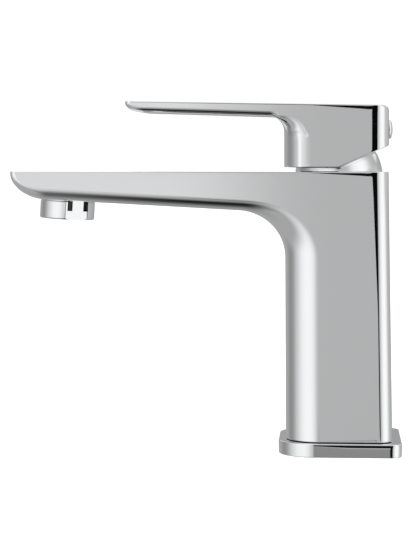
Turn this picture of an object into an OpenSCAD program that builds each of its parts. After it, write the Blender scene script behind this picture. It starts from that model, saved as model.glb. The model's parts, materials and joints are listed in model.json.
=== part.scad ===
// Single-lever basin mixer with a 35 mm ceramic cartridge.
// The origin is the centre of the deck hole, on the deck. +Z is up and the spout points along -Y.

/* [Column and spout] */
// Width of the column, spout and handle, across X
body_w = 46; // [44:0.5:50]
// Height of the flat top of the column and spout above the deck
body_top = 126.2; // [122:0.2:160]
// Distance from the column axis to the front of the column
column_front = 24; // [23.6:0.2:27]
// Distance from the column axis to the back of the column, at its foot
column_back = 24; // [23.6:0.2:26]
// Distance from the column axis to the tip of the spout
spout_reach = 146.6; // [130:0.2:190]
// Distance from the tip of the spout to the middle of the outlet
outlet_inset = 23.2; // [22:0.2:30]
// Thickness of the spout over the outlet
spout_t = 13; // [12.8:0.2:16]
// Slope of the underside of the spout, in degrees
spout_slope = 3.05; // [2:0.05:3.5]
// Radius of the inside corner between the spout and the column
inner_bend_r = 21.5; // [16:0.5:24]

/* [Base] */
// Height of the base plate
plate_h = 6; // [5:0.1:8]
// How far the base plate stands proud of the column at the sides
plate_lip = 4; // [3:0.5:6]
// Diameter of the deck opening in the base plate
deck_hole_d = 34; // [33:0.5:35]

/* [Handle] */
// Distance from the column axis to the tip of the lever
lever_reach = 95; // [80:0.2:120]
// Height of the handle from its lower face to its top
handle_h = 28; // [27:0.2:32]
// Gap between the top of the column and the lower face of the handle
handle_gap = 1.9; // [1.5:0.1:3]
// Slope of the cut-away at the back of the handle, in degrees
handle_cut = 23.5; // [22.5:0.1:25]
// Lean of the control stem towards the front when the water is off, in degrees
stem_lean = 11; // [9:0.5:11]

/* [Connections] */
// Distance between the hot and cold hose inlets
inlet_spacing = 16; // [15.5:0.5:17]
// Core diameter of the M10 x 1 inlet threads
inlet_core_d = 9; // [8.9:0.1:9.2]
// Core diameter of the M8 thread of the mounting stud
stud_core_d = 6.8; // [6.6:0.1:6.9]

/* [Hidden] */
$fn = 96;

chrome = "gainsboro";
chrome_dark = "silver";
rubber = "dimgray";
plastic = "ivory";
ceramic = "white";
steel = "lightsteelblue";
brass = "darkkhaki";
over = 1;                                   // how far a cutter runs past a face

// Column
half_w = body_w / 2;
wall = 3;
column_z = plate_h + 0.3;                   // the column stands on its seal
column_front_r = 15;
column_back_r = 6;
column_core_r = column_front_r - wall;
column_core_back_r = column_back_r - wall;
column_lean_front = 0.4;                    // the foot is set back by this much at the front
column_lean_back = 2;                       // and stands out by this much at the back
outlet_reach = spout_reach - outlet_inset;  // from the column axis to the middle of the outlet

// Inside bend between the column and the spout: centre, and the edge radius along it
spout_edge_r = 5;
bend_y = -column_front - inner_bend_r;
outlet_z = body_top - spout_t;
bend_under_z = outlet_z - (outlet_reach + bend_y) * tan(spout_slope);
bend_z = bend_under_z - inner_bend_r / cos(spout_slope);
bend_turn = 90 - spout_slope;
bend_steps = 14;
edge_steps = 7;

// Spout tip: a flattened quarter ellipse between the underside and the top edge
bow_l = 16;
bow_power = 2.05;
bow_steps = 14;
bow_y = bow_l - spout_reach;
tip_edge_r = 2;

// Cartridge heights, counted up from its seat in the column
pivot_z = body_top - 1.9;
seat_z = body_top - 28.2;
base_z = seat_z + 0.3;
base_flange_h = 3.2;
barrel_z = base_z + base_flange_h;
fixed_z = barrel_z + 2;
disc_h = 4;
moving_z = fixed_z + disc_h;
carrier_z = moving_z + disc_h;
carrier_h = 7;
shoulder_z = body_top - 8.4;
crown_z = pivot_z + 3.2;                    // underside of the housing's top wall
housing_top = pivot_z + 5.7;
turner_top = housing_top + 1.5;

// Cartridge radii
barrel_r = 17.4;
pocket_r = 17.7;
neck_r = 15.2;
rotor_r = 14.4;
rotor_gap = 0.1;
crown_r = 12;
nut_thread_r = 19;
nut_bore_r = 15.6;
nut_groove_r = 16.1;                        // seat of the ring that grips the dome cap
nut_rim_r = 16.8;
ring_cord_r = 0.95;
pin_r = 2;
pin_l = 27;
pin_gap = 0.05;
disc_r = rotor_r - 0.5;
slider_r = 11.2;
slider_room_r = 13.2;
lug_w = 5;
lug_r = crown_r + 1.1;
lug_travel = 45;                            // swing of the turner to each side
limiter_h = 2;

// Seals of the cartridge
seal_cut = 1.5;
port_seal_w = 1.5;
disc_seal_w = 1.2;
seal_gap = 0.1;

// Stem and what it drives
stem_w = 8;
stem_up = 27.5;
arm_l = 8.5;
arm_r = 2.4;
ball_r = 3.4;
eye_r = 5;
ball_y = arm_l * sin(stem_lean);
slide_half_w = 9;
slide_gap = 0.08;

// Water ways
port_r = 3.5;
port_y = 4;
mixed_y = -9;
mixed_r = 4;
gallery_z = seat_z - 8.5;
web_z = seat_z - 12.5;
inlet_boss_r = 8.5;
inlet_z = 40;
inlet_thread_l = 12;
stud_y = -11.5;
stud_boss_r = 6.5;
stud_z = 25;
stud_thread_l = 20;
locating_pin_x = 12.5;
locating_pin_y = -4;
locating_pin_r = 1.95;
locating_pin_l = 2.8;

// Dome and handle
dome_r = 19.75;
dome_wall = 1.25;
dome_open_r = 14.5;
dome_gap = 0.65;
handle_z = body_top + handle_gap;
handle_top = handle_z + handle_h;
handle_front = 24.5;
handle_back = 22.1;
handle_front_r = 12;
handle_back_r = 6;
handle_top_r = 2.5;                         // edge between the top and the back
handle_bend_r = 6.5;
handle_top_slope = 0.87;
lever_under_slope = 1.81;
lever_under_z = handle_z + 22.5;            // underside of the lever where it meets the block
lever_tip_r = 3;
lever_bow_l = 8;
lever_bow_power = 2.2;
lever_cheek = 0.8;                          // depth of the lever's blunt tip
lever_edge = 0.7;                           // bevel over the lever's tip
socket_z = 10;                              // lower end of the stem's socket, along the stem
cut_start_y = -0.4;
socket_gap = 0.03;
screw_z = handle_z + 17;
screw_r = 2.5;
screw_y0 = 0.45;
screw_l = 10;
cap_r = 4.25;
cap_y0 = 17;
cap_proud = 2.1;
cap_rise = 0.8;                             // how far the head bulges beyond its edge

// Aerator, in its own frame: z = 0 on the underside of the spout, +z into the spout
aerator_r = 12.4;
aerator_thread_r = 11.95;
aerator_bore_r = 12;
aerator_drop = 8.8;
aerator_lip_r = 9.6;
aerator_inner_r = 10.3;
aerator_up = 6.5;
washer_h = 1.6;
flat_from_axis = 11.4;
flat_turn = 28;
window_w = 2.4;
window_h = 4.4;
window_from_middle = 2.6;
window_shift = 0.75;                        // the pair sits off the middle of its flat
collar_top = -0.4;
insert_z = 1.5 - aerator_drop;
insert_h = 9.9;
regulator_h = 3;
regulator_z = insert_z + insert_h;
screen_z = regulator_z + regulator_h;

// Base plate
plate_front = 26.8;
plate_back = 28.2;
plate_front_r = 16;
plate_back_r = 5;
plate_w = body_w + 2 * plate_lip;
gasket_r = 22.5;
gasket_w = 2.8;
gasket_h = 1.6;
spigot_h = 3.2;
fit_gap = 0.3;

// ---------------------------------------------------------------- outlines and helpers

// Rectangle about the column axis with its own corner radii at the front and at the back
module d_outline(w, front, back, front_r, back_r) {
    translate([-w / 2, -front + front_r]) square([w, front + back - front_r - back_r]);
    translate([-w / 2 + front_r, -front]) square([w - 2 * front_r, front_r + over]);
    translate([-w / 2 + back_r, back - back_r - over]) square([w - 2 * back_r, back_r + over]);
    for (side = [-1, 1]) {
        translate([side * (w / 2 - front_r), -front + front_r]) circle(r = front_r);
        translate([side * (w / 2 - back_r), back - back_r]) circle(r = back_r);
    }
}

// Inset copy of the column's outline
module column_outline(inset, front_r, back_r) {
    d_outline(body_w - 2 * inset, column_front - inset, column_back - inset, front_r, back_r);
}

module tube(r_out, r_in, h) {
    difference() {
        cylinder(r = r_out, h = h);
        translate([0, 0, -over]) cylinder(r = r_in, h = h + 2 * over);
    }
}

module ring_of(major_r, minor_r) {
    rotate_extrude() translate([major_r, 0]) circle(r = minor_r, $fn = 32);
}

// Extrudes an outline drawn as [y, z] over a width centred on X = 0
module side_extrude(w) {
    rotate([90, 0, 90]) translate([0, 0, -w / 2]) linear_extrude(w) children();
}

// Points of a flattened quarter ellipse, from its blunt end at [0, 0] back and down to [l, -h]
function bow(l, h, power, steps) =
    [for (i = [0:steps]) let(a = 90 * i / steps)
        [l * (1 - pow(cos(a), 2 / power)), -h * pow(sin(a), 2 / power)]];

// Points of an arc about a centre
function arc(cy, cz, r, a0, a1, steps) =
    [for (i = [0:steps]) let(a = a0 + (a1 - a0) * i / steps) [cy + r * cos(a), cz + r * sin(a)]];

module at_pivot() {
    translate([0, 0, pivot_z]) children();
}

module at_stem() {
    at_pivot() rotate([stem_lean, 0, 0]) children();
}

module at_outlet() {
    translate([0, -outlet_reach, outlet_z]) rotate([-spout_slope, 0, 0]) children();
}

// ---------------------------------------------------------------- body

// Height of the spout's underside at y
function under(y) = outlet_z - (y + outlet_reach) * tan(spout_slope);

// Eases from 0 to 1
function ease(t) = t * t * (3 - 2 * t);

// The path that the front of the column, the bend, the underside and the tip follow, bottom to top:
// each entry is [y, z, outward normal y, outward normal z, edge radius]
function bend_path() = [for (i = [0:bend_steps])
    let(a = bend_turn * i / bend_steps,
        r = column_front_r + (spout_edge_r - column_front_r) * ease(i / bend_steps))
        [bend_y + inner_bend_r * cos(a), bend_z + inner_bend_r * sin(a), -cos(a), -sin(a), r]];

function tip_path() =
    let(h = body_top - under(-spout_reach), lift = 1 / bow_power)
    [for (i = [0:bow_steps])
        let(a = 90 * i / bow_steps,
            u = i < bow_steps ? pow(sin(a), 2 * lift) : 1,
            v = i < bow_steps ? pow(cos(a), 2 * lift) : 0,
            y = bow_y - bow_l * u,
            // the curve's own normal, then the shear that follows the sloping underside
            gy = -pow(u, bow_power - 1) / bow_l,
            gz = -pow(v, bow_power - 1) / h,
            ny = i < bow_steps ? gy + gz * tan(spout_slope) : -1,
            nz = i < bow_steps ? gz : 0,
            n = norm([ny, nz]))
        [y, under(y) + h * (1 - v), ny / n, nz / n,
            spout_edge_r + (tip_edge_r - spout_edge_r) * ease(i / bow_steps)]];

function body_path() = concat(
    [[column_lean_front - column_front, column_z, -1, 0, column_front_r]], bend_path(), tip_path());

// Points across the path, from the side at +X to the side at -X, with both edges rounded
function across(p) = [for (side = [1, -1], k = [0:edge_steps])
    let(a = side > 0 ? 90 * (1 - k / edge_steps) : 90 * k / edge_steps, in = p[4] * (1 - cos(a)))
        [side * (half_w - p[4] * (1 - sin(a))), p[0] - p[2] * in, p[1] - p[3] * in]];

// Points across the back, whose flat lies at y, at height z, from -X to +X
function back_row(y, z) = [for (side = [-1, 1], k = [0:edge_steps])
    let(a = side < 0 ? 90 * k / edge_steps : 90 * (1 - k / edge_steps))
        [side * (half_w - column_back_r * (1 - cos(a))), y - column_back_r * (1 - sin(a)), z]];

// The outside of the column and spout in one piece
module body_shell() {
    path = body_path();
    n = len(path);
    m = 2 * (edge_steps + 1);
    low = n * m;
    high = low + m;
    points = concat([for (p = path) each across(p)],
        back_row(column_back, column_z), back_row(column_back - column_lean_back, body_top));
    under_faces = [for (i = [0:n - 2], k = [0:m - 2])
        [i * m + k, i * m + k + 1, (i + 1) * m + k + 1, (i + 1) * m + k]];
    back_faces = [for (k = [0:m - 2]) [low + k, low + k + 1, high + k + 1, high + k]];
    right_face = concat([for (i = [0:n - 1]) i * m], [high + m - 1, low + m - 1]);
    left_face = concat([for (i = [n - 1:-1:0]) i * m + m - 1], [low, high]);
    top_face = concat([for (k = [0:m - 1]) (n - 1) * m + k], [for (k = [0:m - 1]) high + k]);
    bottom_face = concat([for (k = [m - 1:-1:0]) k], [for (k = [m - 1:-1:0]) low + k]);
    polyhedron(points, concat(under_faces, back_faces, [right_face, left_face, top_face, bottom_face]));
}

module water_ways() {
    // mixed water: a port under the cartridge, a gallery, a riser round the bend, the spout channel
    riser_w = 20;
    channel_w = 30;
    bend_wall = 2.2;
    roof_z = body_top - 3;
    beside_pocket = -pocket_r - 1.7;
    beside_nut = -nut_thread_r - 3;
    translate([0, mixed_y, gallery_z + over]) cylinder(r = mixed_r, h = seat_z - gallery_z);
    translate([-riser_w / 2, beside_pocket - 1, gallery_z])
        cube([riser_w, mixed_y + mixed_r + 2 - beside_pocket, 5]);
    side_extrude(riser_w) difference() {
        polygon([[bend_y + 6, gallery_z], [beside_pocket, gallery_z], [beside_pocket, bend_under_z],
            [beside_nut, shoulder_z - 1], [beside_nut, roof_z - 1], [bend_y + 6, roof_z - 1]]);
        translate([bend_y, bend_z]) circle(r = inner_bend_r + bend_wall);
    }
    side_extrude(channel_w) polygon([[beside_nut, roof_z], [-outlet_reach - 8, roof_z],
        [-outlet_reach - 8, outlet_z + 4.5], [bend_y, bend_under_z + 4], [beside_nut, bend_under_z + 6]]);
    // hot and cold: straight ways from the inlet threads to the cartridge seat
    for (side = [-1, 1]) translate([side * inlet_spacing / 2, port_y, 0]) {
        translate([0, 0, inlet_z]) cylinder(r = port_r, h = seat_z - inlet_z + over);
        translate([0, 0, inlet_z - over]) cylinder(d = inlet_core_d, h = inlet_thread_l + over);
    }
}

module column_core() {
    difference() {
        translate([0, 0, column_z - over]) linear_extrude(web_z - column_z + over)
            column_outline(wall, column_core_r, column_core_back_r);
        for (side = [-1, 1]) translate([side * inlet_spacing / 2, port_y, inlet_z])
            cylinder(r = inlet_boss_r, h = web_z - inlet_z + over);
        translate([0, stud_y, stud_z]) cylinder(r = stud_boss_r, h = web_z - stud_z + over);
    }
}

module faucet_body() {
    color(chrome) difference() {
        body_shell();
        translate([0, 0, seat_z]) cylinder(r = pocket_r, h = body_top - seat_z + over);
        translate([0, 0, shoulder_z]) cylinder(r = nut_thread_r, h = body_top - shoulder_z + over);
        for (side = [-1, 1]) translate([side * locating_pin_x, locating_pin_y, seat_z - locating_pin_l - 0.2])
            cylinder(r = locating_pin_r + 0.15, h = locating_pin_l + 0.2 + over);
        water_ways();
        column_core();
        translate([0, stud_y, stud_z - over]) cylinder(d = stud_core_d, h = stud_thread_l + over);
        at_outlet() translate([0, 0, -over - 1])
            cylinder(r = aerator_bore_r, h = aerator_up + washer_h + 1 + over);
    }
}

module base_plate() {
    color(chrome) difference() {
        union() {
            linear_extrude(plate_h) d_outline(plate_w, plate_front, plate_back, plate_front_r, plate_back_r);
            translate([0, 0, plate_h - over]) linear_extrude(spigot_h + over)
                column_outline(wall + fit_gap, column_core_r - fit_gap, column_core_back_r - fit_gap);
        }
        translate([0, 0, -over]) cylinder(d = deck_hole_d, h = plate_h + spigot_h + 2 * over);
        translate([0, 0, -over]) tube(gasket_r + gasket_w / 2, gasket_r - gasket_w / 2, gasket_h + over);
    }
}

module deck_gasket() {
    color(rubber) tube(gasket_r + gasket_w / 2 - 0.05, gasket_r - gasket_w / 2 + 0.05, gasket_h);
}

module column_seal() {
    inset = 1;
    color(rubber) translate([0, 0, plate_h]) linear_extrude(column_z - plate_h) difference() {
        column_outline(inset, column_front_r - inset, column_back_r - inset);
        column_outline(wall, column_core_r, column_core_back_r);
    }
}

// ---------------------------------------------------------------- cartridge, fixed pieces

module cartridge_nut() {
    rim_z = body_top + 2 * ring_cord_r + 0.2;
    top_z = rim_z + 1.1;
    slots = 6;
    slot_w = 3;
    color(brass) difference() {
        union() {
            translate([0, 0, shoulder_z]) cylinder(r = nut_thread_r - 0.1, h = body_top - shoulder_z);
            translate([0, 0, body_top - over]) cylinder(r = nut_groove_r, h = top_z - body_top + over);
            translate([0, 0, rim_z]) cylinder(r = nut_rim_r, h = top_z - rim_z);
        }
        translate([0, 0, shoulder_z - over]) cylinder(r = nut_bore_r, h = top_z - shoulder_z + 2 * over);
        for (i = [0:slots - 1]) rotate([0, 0, 360 / slots * i])
            translate([nut_bore_r - over, -slot_w / 2, rim_z]) cube([slot_w + over, slot_w, slot_w]);
    }
}

module nut_o_ring() {
    color(rubber) translate([0, 0, body_top + ring_cord_r + 0.1])
        ring_of(nut_groove_r + ring_cord_r + 0.05, ring_cord_r);
}

module dome_cap() {
    color(chrome) difference() {
        at_pivot() sphere(r = dome_r);
        at_pivot() sphere(r = dome_r - dome_wall);
        translate([0, 0, body_top - 2 * dome_r]) cylinder(r = 2 * dome_r, h = 2 * dome_r);
        at_pivot() cylinder(r = dome_open_r, h = dome_r + over);
    }
}

module cartridge_housing() {
    color(plastic) difference() {
        union() {
            translate([0, 0, barrel_z]) cylinder(r = barrel_r, h = shoulder_z - barrel_z);
            translate([0, 0, shoulder_z - over]) cylinder(r = neck_r, h = housing_top - shoulder_z + over);
        }
        translate([0, 0, barrel_z - over]) cylinder(r = rotor_r + rotor_gap, h = crown_z - barrel_z + over);
        cylinder(r = crown_r + rotor_gap, h = housing_top + over);
    }
}

module cartridge_base() {
    color(plastic) difference() {
        union() {
            translate([0, 0, base_z]) cylinder(r = barrel_r, h = base_flange_h);
            translate([0, 0, base_z]) cylinder(r = rotor_r, h = fixed_z - base_z);
            for (side = [-1, 1])
                translate([side * locating_pin_x, locating_pin_y, seat_z - locating_pin_l + 0.3])
                    cylinder(r = locating_pin_r, h = locating_pin_l + over);
        }
        ports() cylinder(r = port_r, h = fixed_z);
        ports() translate([0, 0, base_z - over]) cylinder(r = port_r + port_seal_w, h = seal_cut + over);
        ports() translate([0, 0, fixed_z - seal_cut]) cylinder(r = port_r + disc_seal_w, h = seal_cut + over);
    }
}

// Places a child at the hot, cold and mixed ports
module ports() {
    for (at = [[-inlet_spacing / 2, port_y], [inlet_spacing / 2, port_y], [0, mixed_y]])
        translate([at[0], at[1], 0]) children();
}

module port_seals() {
    color(rubber) ports() translate([0, 0, seat_z])
        tube(port_r + port_seal_w - seal_gap, port_r + seal_gap, base_z - seat_z + seal_cut);
}

module disc_seals() {
    color(rubber) ports() translate([0, 0, fixed_z - seal_cut])
        tube(port_r + disc_seal_w - seal_gap, port_r + seal_gap, seal_cut);
}

module fixed_disc() {
    color(ceramic) translate([0, 0, fixed_z]) difference() {
        cylinder(r = disc_r, h = disc_h);
        translate([0, 0, -over]) ports() cylinder(r = port_r - 0.3, h = disc_h + 2 * over);
    }
}

module temperature_limiter() {
    // a ring whose inner step is cut away over the swing of the turner's lug
    window = lug_travel + asin(lug_w / 2 / lug_r) + 1.2;
    color("firebrick") difference() {
        translate([0, 0, housing_top]) tube(neck_r - 0.2, crown_r + 0.3, limiter_h);
        translate([0, 0, housing_top - over]) rotate([0, 0, -90 - window])
            rotate_extrude(angle = 2 * window) translate([crown_r - over, 0])
            square([lug_r + 0.5 - crown_r + over, limiter_h + 2 * over]);
    }
}

// ---------------------------------------------------------------- cartridge, moving pieces

module cartridge_turner() {
    skirt_z = moving_z + 0.4;
    lug_z = housing_top + 0.2;
    swing_room = 12.4;
    color("cornflowerblue") difference() {
        union() {
            translate([0, 0, skirt_z]) cylinder(r = rotor_r, h = crown_z - 0.2 - skirt_z);
            translate([0, 0, skirt_z]) cylinder(r = crown_r, h = turner_top - skirt_z);
            translate([-lug_w / 2, -lug_r, lug_z]) cube([lug_w, 3, turner_top - lug_z]);
        }
        // room for the carrier and the disc to slide along Y
        translate([0, 0, skirt_z - over]) linear_extrude(carrier_z + carrier_h + 0.2 - skirt_z + over)
            intersection() {
                circle(r = slider_room_r);
                square([2 * (slide_half_w + slide_gap), 30], center = true);
            }
        // room for the stem to swing
        translate([-stem_w / 2 - 0.1, -swing_room / 2, skirt_z])
            cube([stem_w + 0.2, swing_room, turner_top - skirt_z + over]);
        at_pivot() rotate([0, 90, 0]) cylinder(r = pin_r, h = 40, center = true);
    }
}

module stem_pin() {
    color(steel) at_pivot() rotate([0, 90, 0]) cylinder(r = pin_r, h = pin_l, center = true);
}

module disc_carrier() {
    pocket_floor = 0.8;
    color("khaki") difference() {
        translate([0, 0, carrier_z]) linear_extrude(carrier_h) intersection() {
            translate([0, ball_y]) circle(r = slider_r);
            translate([-slide_half_w, -20]) square([2 * slide_half_w, 40]);
        }
        translate([0, ball_y, carrier_z + pocket_floor]) cylinder(r = ball_r + 0.15, h = carrier_h);
    }
}

module moving_disc() {
    film = 0.02;
    chamber_r = 6.5;
    chamber_h = 2.5;
    color(ceramic) difference() {
        translate([0, 0, moving_z + film]) linear_extrude(disc_h - film) intersection() {
            translate([0, ball_y]) circle(r = slider_r - 0.2);
            translate([-slide_half_w + 0.1, -20]) square([2 * slide_half_w - 0.2, 40]);
        }
        // mixing chamber, open towards the fixed disc
        translate([0, ball_y - 2, moving_z - over]) cylinder(r = chamber_r, h = chamber_h + over);
    }
}

module control_stem() {
    color(brass) at_stem() difference() {
        union() {
            translate([-stem_w / 2, -stem_w / 2, 0]) cube([stem_w, stem_w, stem_up]);
            rotate([0, 90, 0]) cylinder(r = eye_r, h = stem_w, center = true);
            translate([0, 0, -arm_l]) cylinder(r = arm_r, h = arm_l);
            translate([0, 0, -arm_l]) sphere(r = ball_r);
        }
        rotate([0, 90, 0]) cylinder(r = pin_r + pin_gap, h = stem_w + 2, center = true);
    }
}

// ---------------------------------------------------------------- handle

function lever_under(y) = lever_under_z - (y + handle_front) * tan(lever_under_slope);
function handle_over(y) = handle_top - y * tan(handle_top_slope);

module handle_profile() {
    cheek_z = handle_over(-lever_reach) - lever_cheek;
    bow_h = cheek_z - lever_under(lever_bow_l - lever_reach);
    tip = [for (p = bow(lever_bow_l, bow_h, lever_bow_power, 8)) [p[0] - lever_reach, p[1] + cheek_z]];
    bend_c = -handle_front - handle_bend_r;
    polygon(concat(
        [[handle_back - handle_top_r, handle_over(handle_back)],
         [lever_edge - lever_reach, handle_over(-lever_reach)]],
        tip,
        arc(bend_c, lever_under(bend_c) - handle_bend_r, handle_bend_r, 90, 0, 10),
        [[-handle_front, handle_z], [cut_start_y, handle_z],
         [handle_back, handle_z + (handle_back - cut_start_y) * tan(handle_cut)]],
        arc(handle_back - handle_top_r, handle_over(handle_back) - handle_top_r, handle_top_r, 0, 80, 5)));
}

module handle_plan() {
    // the lever above, the block with rounder front edges below, and the bend between them
    lever_z = lever_under(-handle_front) - 0.2;
    translate([0, 0, lever_z]) linear_extrude(20)
        d_outline(body_w, lever_reach, handle_back, lever_tip_r, handle_back_r);
    translate([0, 0, handle_z - over]) linear_extrude(handle_h)
        d_outline(body_w, handle_front, handle_back, handle_front_r, handle_back_r);
    translate([-half_w + handle_front_r, -handle_front - handle_bend_r - 2, handle_z])
        cube([body_w - 2 * handle_front_r, 12, handle_h]);
}

module handle() {
    color(chrome) difference() {
        intersection() {
            side_extrude(body_w + 2) handle_profile();
            handle_plan();
        }
        at_pivot() sphere(r = dome_r + dome_gap);
        at_stem() translate([-stem_w / 2 - socket_gap, -stem_w / 2 - socket_gap, socket_z])
            cube([stem_w + 2 * socket_gap, stem_w + 2 * socket_gap, stem_up - socket_z + 0.3]);
        translate([0, 0, screw_z]) rotate([-90, 0, 0]) {
            cylinder(r = screw_r + 0.02, h = handle_back);
            translate([0, 0, cap_y0]) cylinder(r = cap_r + 0.15, h = handle_back);
        }
    }
}

module handle_set_screw() {
    key_flats = 2.5;
    key_depth = 3;
    cup_r = 5.9;
    color("dimgray") translate([0, screw_y0, screw_z]) rotate([-90, 0, 0]) difference() {
        intersection() {
            cylinder(r = screw_r, h = screw_l);
            // cup end towards the stem
            translate([0, 0, cup_r - 0.4]) sphere(r = cup_r);
        }
        translate([0, 0, screw_l - key_depth])
            cylinder(d = key_flats / cos(30), h = key_depth + over, $fn = 6);
    }
}

module screw_cap() {
    // a plug with a low domed head
    crown = (cap_r * cap_r + cap_rise * cap_rise) / (2 * cap_rise);
    color(chrome_dark) intersection() {
        translate([0, cap_y0, screw_z]) rotate([-90, 0, 0]) cylinder(r = cap_r, h = 20);
        translate([0, handle_back + cap_proud - crown, screw_z]) sphere(r = crown);
        translate([-cap_r - over, cap_y0, screw_z - cap_r - over])
            cube([2 * cap_r + 2 * over, 20, 2 * cap_r + 2 * over]);
    }
}

// ---------------------------------------------------------------- aerator

module aerator_housing() {
    lip_h = 1.5;
    color(chrome_dark) at_outlet() difference() {
        union() {
            translate([0, 0, -aerator_drop]) cylinder(r = aerator_r, h = aerator_drop + collar_top);
            translate([0, 0, -aerator_drop]) cylinder(r = aerator_thread_r, h = aerator_drop + aerator_up);
        }
        translate([0, 0, -aerator_drop - over]) cylinder(r = aerator_lip_r, h = lip_h + 2 * over);
        translate([0, 0, insert_z]) cylinder(r = aerator_inner_r, h = aerator_drop + aerator_up);
        // two spanner flats, each with a pair of air inlets above
        for (turn = [0, 180]) rotate([0, 0, flat_turn + turn]) {
            translate([flat_from_axis, -10, -aerator_drop - over])
                cube([5, 20, aerator_drop + over + collar_top]);
            for (y = [-window_from_middle - window_w, window_from_middle])
                translate([aerator_lip_r - 1, y + window_shift, collar_top - window_h])
                    cube([6, window_w, window_h]);
        }
    }
}

module aerator_washer() {
    washer_w = 2.8;
    color(rubber) at_outlet() translate([0, 0, aerator_up])
        tube(aerator_bore_r - 0.4, aerator_bore_r - 0.4 - washer_w, washer_h);
}

module aerator_screen() {
    // perforated strainer disc with a raised middle
    sheet = 0.5;
    crown_h = 1.4;
    hat_r = 8;
    hole_pitch = 2.8;
    hole_r = 0.7;
    color(steel) at_outlet() translate([0, 0, screen_z]) difference() {
        union() {
            cylinder(r = aerator_inner_r - 0.2, h = sheet);
            cylinder(r = hat_r, h = crown_h);
        }
        translate([0, 0, -over]) cylinder(r = hat_r - sheet, h = crown_h - sheet + over);
        for (ring = [1:2], i = [0:ring * 6 - 1]) rotate([0, 0, 360 / (ring * 6) * i])
            translate([ring * hole_pitch, 0, 0]) cylinder(r = hole_r, h = crown_h + over, $fn = 16);
    }
}

module flow_regulator() {
    holes = 8;
    hole_ring_r = 6.8;
    hole_r = 1.2;
    color("mediumseagreen") at_outlet() translate([0, 0, regulator_z]) difference() {
        cylinder(r = aerator_inner_r - 0.3, h = regulator_h);
        for (i = [0:holes - 1]) rotate([0, 0, 360 / holes * i]) translate([hole_ring_r, 0, -over])
            cylinder(r = hole_r, h = regulator_h + 2 * over);
    }
}

module aerator_insert() {
    // honeycomb jet former in a ring
    cell_pitch = 3.4;
    cell_r = 1.6;
    color("dimgray") at_outlet() translate([0, 0, insert_z]) difference() {
        cylinder(r = aerator_inner_r - 0.15, h = insert_h);
        for (ring = [0:2], i = [0:max(ring * 6 - 1, 0)])
            rotate([0, 0, 60 * floor(i / max(ring, 1))])
            translate([ring * cell_pitch, 0, 0]) rotate([0, 0, 120])
            translate([(i % max(ring, 1)) * cell_pitch, 0, -over]) rotate([0, 0, 30])
            cylinder(r = cell_r, h = insert_h + 2 * over, $fn = 6);
    }
}

faucet_body();
base_plate();
deck_gasket();
column_seal();
cartridge_nut();
nut_o_ring();
dome_cap();
cartridge_housing();
cartridge_base();
port_seals();
disc_seals();
fixed_disc();
temperature_limiter();
aerator_housing();
aerator_washer();
aerator_screen();
flow_regulator();
aerator_insert();
cartridge_turner();
stem_pin();
disc_carrier();
moving_disc();
control_stem();
handle();
handle_set_screw();
screw_cap();
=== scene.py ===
import json
import math

import bmesh
import bpy
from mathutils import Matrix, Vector


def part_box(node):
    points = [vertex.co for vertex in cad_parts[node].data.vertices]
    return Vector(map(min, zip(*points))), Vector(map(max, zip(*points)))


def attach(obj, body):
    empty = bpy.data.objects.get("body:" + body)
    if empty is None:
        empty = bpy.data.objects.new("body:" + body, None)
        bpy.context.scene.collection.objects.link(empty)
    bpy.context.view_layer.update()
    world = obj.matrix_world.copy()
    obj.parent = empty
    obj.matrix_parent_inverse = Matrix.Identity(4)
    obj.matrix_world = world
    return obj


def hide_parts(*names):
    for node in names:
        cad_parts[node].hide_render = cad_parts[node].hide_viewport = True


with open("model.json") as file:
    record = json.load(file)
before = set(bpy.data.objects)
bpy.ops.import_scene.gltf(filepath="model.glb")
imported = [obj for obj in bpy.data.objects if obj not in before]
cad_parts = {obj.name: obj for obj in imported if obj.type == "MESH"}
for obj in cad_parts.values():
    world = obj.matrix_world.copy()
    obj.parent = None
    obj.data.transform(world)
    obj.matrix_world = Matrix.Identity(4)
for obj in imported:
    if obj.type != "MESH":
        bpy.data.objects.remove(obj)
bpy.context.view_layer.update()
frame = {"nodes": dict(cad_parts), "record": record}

# Lengths in this script are millimetres, and become metres where a mesh is made.
MM = 0.001


def node_box(node):
    low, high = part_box(node)
    return low / MM, high / MM


body_low, body_high = node_box("faucet_body")
plate_low, plate_high = node_box("base_plate")
handle_low, handle_high = node_box("handle")
cap_high = node_box("screw_cap")[1]

# ---------------------------------------------------------------- driving dimensions

HALF = body_high.x                      # half the width of the column, spout and handle
BODY_TOP = body_high.z
COLUMN_Z = body_low.z
TIP_Y = body_low.y
COLUMN_FRONT = 24.0
COLUMN_FRONT_FOOT = 23.6
COLUMN_BACK = body_high.y               # at the foot
COLUMN_BACK_TOP = COLUMN_BACK - 2.0
COLUMN_FRONT_R = 15.0
COLUMN_BACK_R = 6.0
SPOUT_EDGE_R = 5.0
TIP_EDGE_R = 2.6
SPOUT_SLOPE = math.radians(3.05)
SPOUT_T = 13.0
OUTLET_Y = TIP_Y + 23.2
OUTLET_Z = BODY_TOP - SPOUT_T
BEND_R = 21.5
BEND_Y = -COLUMN_FRONT - BEND_R
BEND_Z = OUTLET_Z - (BEND_Y - OUTLET_Y) * math.tan(SPOUT_SLOPE) - BEND_R / math.cos(SPOUT_SLOPE)
BOW_L = 16.0
BOW_POWER = 2.05
BOW_Y = TIP_Y + BOW_L

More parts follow.
